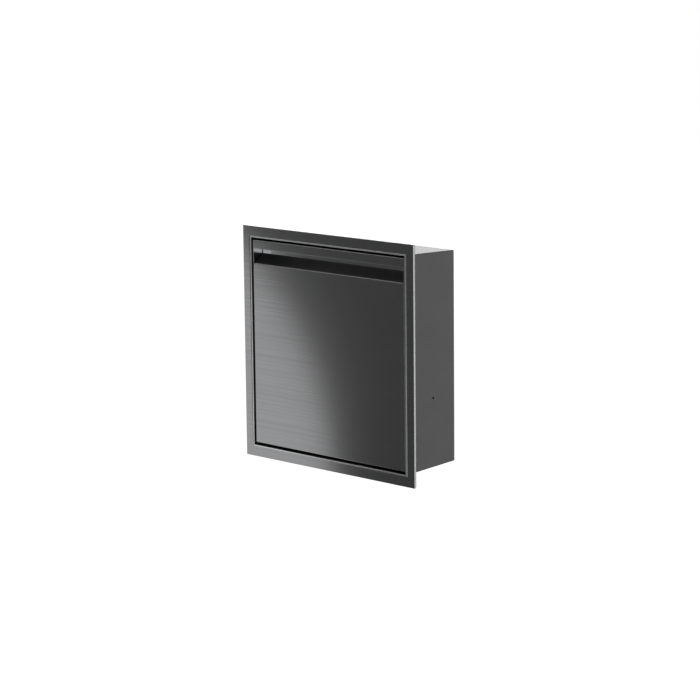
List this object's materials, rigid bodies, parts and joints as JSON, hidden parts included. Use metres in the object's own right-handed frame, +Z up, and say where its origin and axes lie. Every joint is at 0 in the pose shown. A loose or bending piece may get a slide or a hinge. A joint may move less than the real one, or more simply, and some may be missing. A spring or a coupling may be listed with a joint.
{
  "type": "trash compactor",
  "caption": "Slim built-in trash compactor: brushed trim frame, pull-out drawer with a finger recess, and a screw-driven ram over its bin.",
  "frame": {"origin": "middle of the unit's underside: centre of its bounding box across and front to back, at the trim frame's lower edge", "axes": "+X to the unit's right as seen from the front, +Y towards the back, +Z up"},
  "size_m": [0.457, 0.1414, 0.461],
  "materials": {
    "brushed_steel": "dark stainless, brushed along the width",
    "coated_sheet": "satin grey coated sheet steel",
    "zinc": "zinc-plated sheet",
    "steel": "turned steel",
    "cast": "dark enamel",
    "bin_paint": "grey powder coat",
    "brass": "machined",
    "rubber": "matt",
    "foam": "felted",
    "plastic": "moulded"
  },
  "bodies": {
    "cabinet": {"trim_frame": "brushed_steel", "cabinet_shell": "coated_sheet", "back_panel": "coated_sheet", "back_screw_1": "steel", "back_screw_2": "steel", "back_screw_3": "steel", "back_screw_4": "steel", "power_inlet": "plastic", "drive_deck": "zinc", "screw_bearing_left": "steel", "screw_bearing_right": "steel", "foot_bearing_left": "cast", "foot_bearing_right": "cast", "runner_outer_left": "zinc", "runner_outer_right": "zinc", "drawer_bumper_left": "rubber", "drawer_bumper_right": "rubber", "shaft_bearing": "steel", "motor": "cast", "drive_belt": "rubber", "latch_solenoid": "plastic", "interlock_switch": "plastic", "control_box": "plastic"},
    "drawer": {"drawer_front_panel": "brushed_steel", "drawer_upper_band": "brushed_steel", "grip_channel": "brushed_steel", "grip_end_cap_left": "brushed_steel", "grip_end_cap_right": "brushed_steel", "sound_pad": "foam", "drawer_back_plate": "zinc", "bin_cradle": "zinc", "compactor_bin": "bin_paint", "latch_striker": "zinc", "runner_inner_left": "zinc", "runner_inner_right": "zinc"},
    "runner_left": {"runner_middle_left": "zinc"},
    "runner_right": {"runner_middle_right": "zinc"},
    "ram": {"pressure_plate": "zinc", "ram_wiper": "rubber", "ram_skirt": "zinc", "ram_crossbar": "cast", "ram_column_left": "cast", "ram_column_right": "cast", "power_nut_left": "brass", "power_nut_right": "brass"},
    "screw_left": {"lead_screw_left": "steel", "screw_pulley_left": "zinc"},
    "screw_right": {"lead_screw_right": "steel", "screw_pulley_right": "zinc"},
    "drive": {"drive_shaft": "steel", "drive_gear": "steel", "drive_pulley": "zinc"},
    "rotor": {"motor_shaft": "steel", "motor_pinion": "brass"},
    "latch": {"latch_bolt": "steel"},
    "plunger": {"switch_plunger": "plastic"}
  },
  "joints": [
    {"name": "drawer_slide", "type": "slide", "parent": "cabinet", "child": "drawer", "axis": [0, -1, 0], "range_m": [0, 0.108]},
    {"name": "runner_left_slide", "type": "slide", "parent": "cabinet", "child": "runner_left", "axis": [0, -1, 0], "range_m": [0, 0.054]},
    {"name": "runner_right_slide", "type": "slide", "parent": "cabinet", "child": "runner_right", "axis": [0, -1, 0], "range_m": [0, 0.054]},
    {"name": "ram_slide", "type": "slide", "parent": "cabinet", "child": "ram", "axis": [0, 0, -1], "range_m": [0, 0.12]},
    {"name": "screw_left_spin", "type": "hinge", "parent": "cabinet", "child": "screw_left", "pos_m": [-0.188, 0.00425, 0.39], "axis": [0, 0, 1], "range_deg": [0, 2160]},
    {"name": "screw_right_spin", "type": "hinge", "parent": "cabinet", "child": "screw_right", "pos_m": [0.188, 0.00425, 0.39], "axis": [0, 0, 1], "range_deg": [0, 2160]},
    {"name": "drive_shaft_spin", "type": "hinge", "parent": "cabinet", "child": "drive", "pos_m": [0.06, 0.03925, 0.39], "axis": [0, 0, 1], "range_deg": [0, 2160]},
    {"name": "motor_spin", "type": "hinge", "parent": "cabinet", "child": "rotor", "pos_m": [0.0925, 0.03925, 0.39], "axis": [0, 0, 1], "range_deg": [-7200, 0]},
    {"name": "latch_slide", "type": "slide", "parent": "cabinet", "child": "latch", "axis": [0, 0, -1], "range_m": [0, 0.012], "stiffness_N_per_m": 60, "springref_m": -0.004},
    {"name": "plunger_slide", "type": "slide", "parent": "cabinet", "child": "plunger", "axis": [0, 1, 0], "range_m": [0, 0.003], "stiffness_N_per_m": 150, "springref_m": -0.001}
  ],
  "couplings": [
    {"joint": "runner_left_slide", "follows": "drawer_slide", "ratio": 0.5},
    {"joint": "runner_right_slide", "follows": "drawer_slide", "ratio": 0.5},
    {"joint": "screw_left_spin", "follows": "ram_slide", "rad_per_m": 314.16},
    {"joint": "screw_right_spin", "follows": "ram_slide", "rad_per_m": 314.16},
    {"joint": "drive_shaft_spin", "follows": "ram_slide", "rad_per_m": 314.16},
    {"joint": "motor_spin", "follows": "ram_slide", "rad_per_m": -1047.2}
  ]
}
